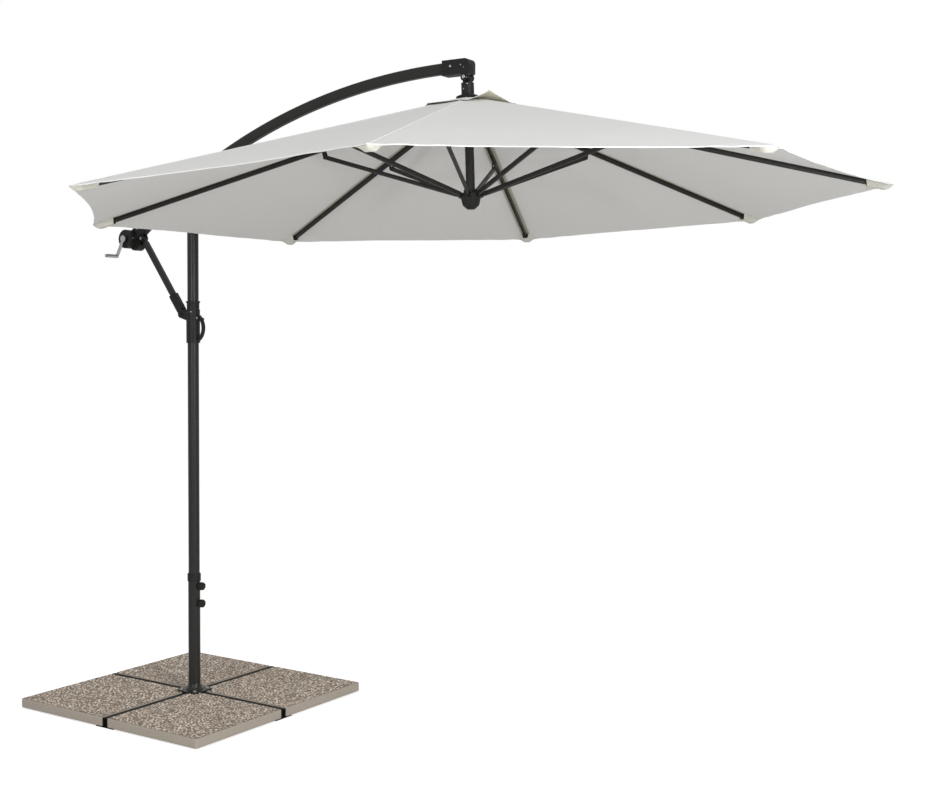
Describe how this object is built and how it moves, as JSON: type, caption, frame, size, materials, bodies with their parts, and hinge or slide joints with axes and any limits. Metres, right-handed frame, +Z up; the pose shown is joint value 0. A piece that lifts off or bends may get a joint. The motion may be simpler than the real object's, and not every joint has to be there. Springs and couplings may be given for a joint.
{
  "type": "cantilever parasol",
  "caption": "Cantilever garden parasol: octagonal cloth canopy hung from a curved side arm on a swivelling pole, with crank, slider and brace, on a slab-weighted cross base.",
  "frame": {"origin": "the pole's axis at floor level, on the underside of the lower cross bar", "axes": "+Z up; +X from the pole towards the canopy; the crank is on the -Y side"},
  "size_m": [3.3095, 2.7716, 2.608],
  "materials": {
    "aggregate_stone": "exposed pebble aggregate, rough",
    "black_steel": "black powder coat",
    "anthracite_steel": "anthracite powder coat, satin",
    "anthracite_tube": "anthracite powder coat, satin",
    "rib_metal": "anthracite powder coat, satin",
    "bare_metal": "zinc plated",
    "cloth": "off-white woven polyester, matte",
    "cord": "braided, matte",
    "moulded_plastic": "black moulded nylon, fine grain"
  },
  "bodies": {
    "base": {"slab_1": "aggregate_stone", "slab_2": "aggregate_stone", "slab_3": "aggregate_stone", "slab_4": "aggregate_stone", "cross_bar_x": "black_steel", "cross_bar_y": "black_steel", "base_sleeve": "anthracite_steel", "foot_bolt_1": "bare_metal", "foot_bolt_2": "bare_metal", "foot_bolt_3": "bare_metal", "foot_bolt_4": "bare_metal", "sleeve_collar": "moulded_plastic"},
    "upper_knob": {"clamp_knob_upper": "moulded_plastic"},
    "lower_knob": {"clamp_knob_lower": "moulded_plastic"},
    "column": {"pole": "anthracite_steel", "pole_head": "moulded_plastic", "arm_pivot_pin": "bare_metal"},
    "arm": {"arm_tube": "anthracite_tube", "arm_saddle": "moulded_plastic", "crank_housing": "moulded_plastic", "brace_top_pin": "bare_metal", "elbow": "moulded_plastic", "cord_pulley": "bare_metal", "lift_cord": "cord"},
    "slider": {"slider": "moulded_plastic", "latch_pin": "bare_metal"},
    "latch": {"latch_lever": "moulded_plastic"},
    "brace": {"brace_tube": "anthracite_tube", "brace_top_end": "moulded_plastic", "brace_foot_end": "moulded_plastic"},
    "head": {"head_tube": "moulded_plastic", "tilt_bolt": "bare_metal", "crown": "moulded_plastic", "upper_hub": "moulded_plastic", "upper_hub_wire": "bare_metal", "canopy": "cloth", "vent_cap": "cloth"},
    "crank": {"crank_handle": "bare_metal", "winch_drum": "moulded_plastic"},
    "grip": {"crank_grip": "bare_metal"},
    "runner": {"lower_hub": "moulded_plastic", "lower_hub_wire": "bare_metal", "mast": "anthracite_tube"},
    "rib_1": {"rib_1": "rib_metal"},
    "strut_1": {"strut_1": "rib_metal"},
    "rib_2": {"rib_2": "rib_metal"},
    "strut_2": {"strut_2": "rib_metal"},
    "rib_3": {"rib_3": "rib_metal"},
    "strut_3": {"strut_3": "rib_metal"},
    "rib_4": {"rib_4": "rib_metal"},
    "strut_4": {"strut_4": "rib_metal"},
    "rib_5": {"rib_5": "rib_metal"},
    "strut_5": {"strut_5": "rib_metal"},
    "rib_6": {"rib_6": "rib_metal"},
    "strut_6": {"strut_6": "rib_metal"},
    "rib_7": {"rib_7": "rib_metal"},
    "strut_7": {"strut_7": "rib_metal"},
    "rib_8": {"rib_8": "rib_metal"},
    "strut_8": {"strut_8": "rib_metal"}
  },
  "joints": [
    {"name": "column_swivel", "type": "hinge", "parent": "base", "child": "column", "pos_m": [0, 0, 0.062], "axis": [0, 0, 1], "continuous": true},
    {"name": "upper_knob_turn", "type": "hinge", "parent": "base", "child": "upper_knob", "pos_m": [0.033, 0, 0.501], "axis": [1, 0, 0], "continuous": true},
    {"name": "lower_knob_turn", "type": "hinge", "parent": "base", "child": "lower_knob", "pos_m": [0.033, 0, 0.426], "axis": [1, 0, 0], "continuous": true},
    {"name": "arm_lower", "type": "hinge", "parent": "column", "child": "arm", "pos_m": [0, 0, 2.19], "axis": [0, 1, 0], "range_deg": [0, 24]},
    {"name": "slider_travel", "type": "slide", "parent": "column", "child": "slider", "axis": [0, 0, 1], "range_m": [0, 0.182]},
    {"name": "latch_swing", "type": "hinge", "parent": "slider", "child": "latch", "pos_m": [0.035, 0, 1.655], "axis": [0, -1, 0], "range_deg": [0, 16], "stiffness_Nm_per_rad": 0.4, "springref_deg": -11.46},
    {"name": "brace_swing", "type": "hinge", "parent": "arm", "child": "brace", "pos_m": [-0.298, 0, 2.003], "axis": [0, 1, 0], "range_deg": [-33.5, 0]},
    {"name": "head_level", "type": "hinge", "parent": "arm", "child": "head", "pos_m": [1.395, 0, 2.54], "axis": [0, 1, 0], "range_deg": [-24.5, 0]},
    {"name": "crank_turn", "type": "hinge", "parent": "arm", "child": "crank", "pos_m": [-0.362, 0, 2], "axis": [0, 1, 0], "range_deg": [0, 2570]},
    {"name": "grip_spin", "type": "hinge", "parent": "crank", "child": "grip", "pos_m": [-0.40369, -0.09, 1.92478], "axis": [0, 1, 0], "continuous": true},
    {"name": "canopy_fold", "type": "hinge", "parent": "head", "child": "rib_1", "pos_m": [1.43398, 0.01454, 2.44957], "axis": [-0.3823, 0.9239, -0.0162], "range_deg": [0, 70], "deforming": ["canopy"]},
    {"name": "strut_1_fold", "type": "hinge", "parent": "rib_1", "child": "strut_1", "pos_m": [1.91429, 0.21068, 2.2998], "axis": [-0.3823, 0.9239, -0.0162], "range_deg": [-140, 0]},
    {"name": "rib_2_fold", "type": "hinge", "parent": "head", "child": "rib_2", "pos_m": [1.41343, 0.03511, 2.4487], "axis": [-0.923, 0.3827, -0.0392], "range_deg": [0, 70]},
    {"name": "strut_2_fold", "type": "hinge", "parent": "rib_2", "child": "strut_2", "pos_m": [1.6166, 0.50863, 2.28717], "axis": [-0.923, 0.3827, -0.0392], "range_deg": [-140, 0]},
    {"name": "rib_3_fold", "type": "hinge", "parent": "head", "child": "rib_3", "pos_m": [1.38437, 0.03511, 2.44747], "axis": [-0.923, -0.3827, -0.0392], "range_deg": [0, 70]},
    {"name": "strut_3_fold", "type": "hinge", "parent": "rib_3", "child": "strut_3", "pos_m": [1.19561, 0.50863, 2.2693], "axis": [-0.923, -0.3827, -0.0392], "range_deg": [-140, 0]},
    {"name": "rib_4_fold", "type": "hinge", "parent": "head", "child": "rib_4", "pos_m": [1.36383, 0.01454, 2.44659], "axis": [-0.3823, -0.9239, -0.0162], "range_deg": [0, 70]},
    {"name": "strut_4_fold", "type": "hinge", "parent": "rib_4", "child": "strut_4", "pos_m": [0.89793, 0.21068, 2.25667], "axis": [-0.3823, -0.9239, -0.0162], "range_deg": [-140, 0]},
    {"name": "rib_5_fold", "type": "hinge", "parent": "head", "child": "rib_5", "pos_m": [1.36383, -0.01454, 2.44659], "axis": [0.3823, -0.9239, 0.0162], "range_deg": [0, 70]},
    {"name": "strut_5_fold", "type": "hinge", "parent": "rib_5", "child": "strut_5", "pos_m": [0.89793, -0.21068, 2.25667], "axis": [0.3823, -0.9239, 0.0162], "range_deg": [-140, 0]},
    {"name": "rib_6_fold", "type": "hinge", "parent": "head", "child": "rib_6", "pos_m": [1.38437, -0.03511, 2.44747], "axis": [0.923, -0.3827, 0.0392], "range_deg": [0, 70]},
    {"name": "strut_6_fold", "type": "hinge", "parent": "rib_6", "child": "strut_6", "pos_m": [1.19561, -0.50863, 2.2693], "axis": [0.923, -0.3827, 0.0392], "range_deg": [-140, 0]},
    {"name": "rib_7_fold", "type": "hinge", "parent": "head", "child": "rib_7", "pos_m": [1.41343, -0.03511, 2.4487], "axis": [0.923, 0.3827, 0.0392], "range_deg": [0, 70]},
    {"name": "strut_7_fold", "type": "hinge", "parent": "rib_7", "child": "strut_7", "pos_m": [1.6166, -0.50863, 2.28717], "axis": [0.923, 0.3827, 0.0392], "range_deg": [-140, 0]},
    {"name": "rib_8_fold", "type": "hinge", "parent": "head", "child": "rib_8", "pos_m": [1.43398, -0.01454, 2.44957], "axis": [0.3823, 0.9239, 0.0162], "range_deg": [0, 70]},
    {"name": "strut_8_fold", "type": "hinge", "parent": "rib_8", "child": "strut_8", "pos_m": [1.91429, -0.21068, 2.2998], "axis": [0.3823, 0.9239, 0.0162], "range_deg": [-140, 0]},
    {"name": "runner_swing", "type": "hinge", "parent": "strut_1", "child": "runner", "pos_m": [1.44839, 0.01454, 2.10988], "axis": [-0.3823, 0.9239, -0.0162], "range_deg": [0, 70]}
  ],
  "couplings": [
    {"joint": "slider_travel", "follows": "arm_lower", "m_per_rad": 0.43137},
    {"joint": "brace_swing", "follows": "arm_lower", "ratio": -1.3848},
    {"joint": "head_level", "follows": "arm_lower", "ratio": -1},
    {"joint": "strut_1_fold", "follows": "canopy_fold", "ratio": -2},
    {"joint": "rib_2_fold", "follows": "canopy_fold", "ratio": 1},
    {"joint": "strut_2_fold", "follows": "canopy_fold", "ratio": -2},
    {"joint": "rib_3_fold", "follows": "canopy_fold", "ratio": 1},
    {"joint": "strut_3_fold", "follows": "canopy_fold", "ratio": -2},
    {"joint": "rib_4_fold", "follows": "canopy_fold", "ratio": 1},
    {"joint": "strut_4_fold", "follows": "canopy_fold", "ratio": -2},
    {"joint": "rib_5_fold", "follows": "canopy_fold", "ratio": 1},
    {"joint": "strut_5_fold", "follows": "canopy_fold", "ratio": -2},
    {"joint": "rib_6_fold", "follows": "canopy_fold", "ratio": 1},
    {"joint": "strut_6_fold", "follows": "canopy_fold", "ratio": -2},
    {"joint": "rib_7_fold", "follows": "canopy_fold", "ratio": 1},
    {"joint": "strut_7_fold", "follows": "canopy_fold", "ratio": -2},
    {"joint": "rib_8_fold", "follows": "canopy_fold", "ratio": 1},
    {"joint": "strut_8_fold", "follows": "canopy_fold", "ratio": -2},
    {"joint": "runner_swing", "follows": "canopy_fold", "ratio": 1},
    {"joint": "crank_turn", "follows": "canopy_fold", "ratio": 36.687}
  ]
}
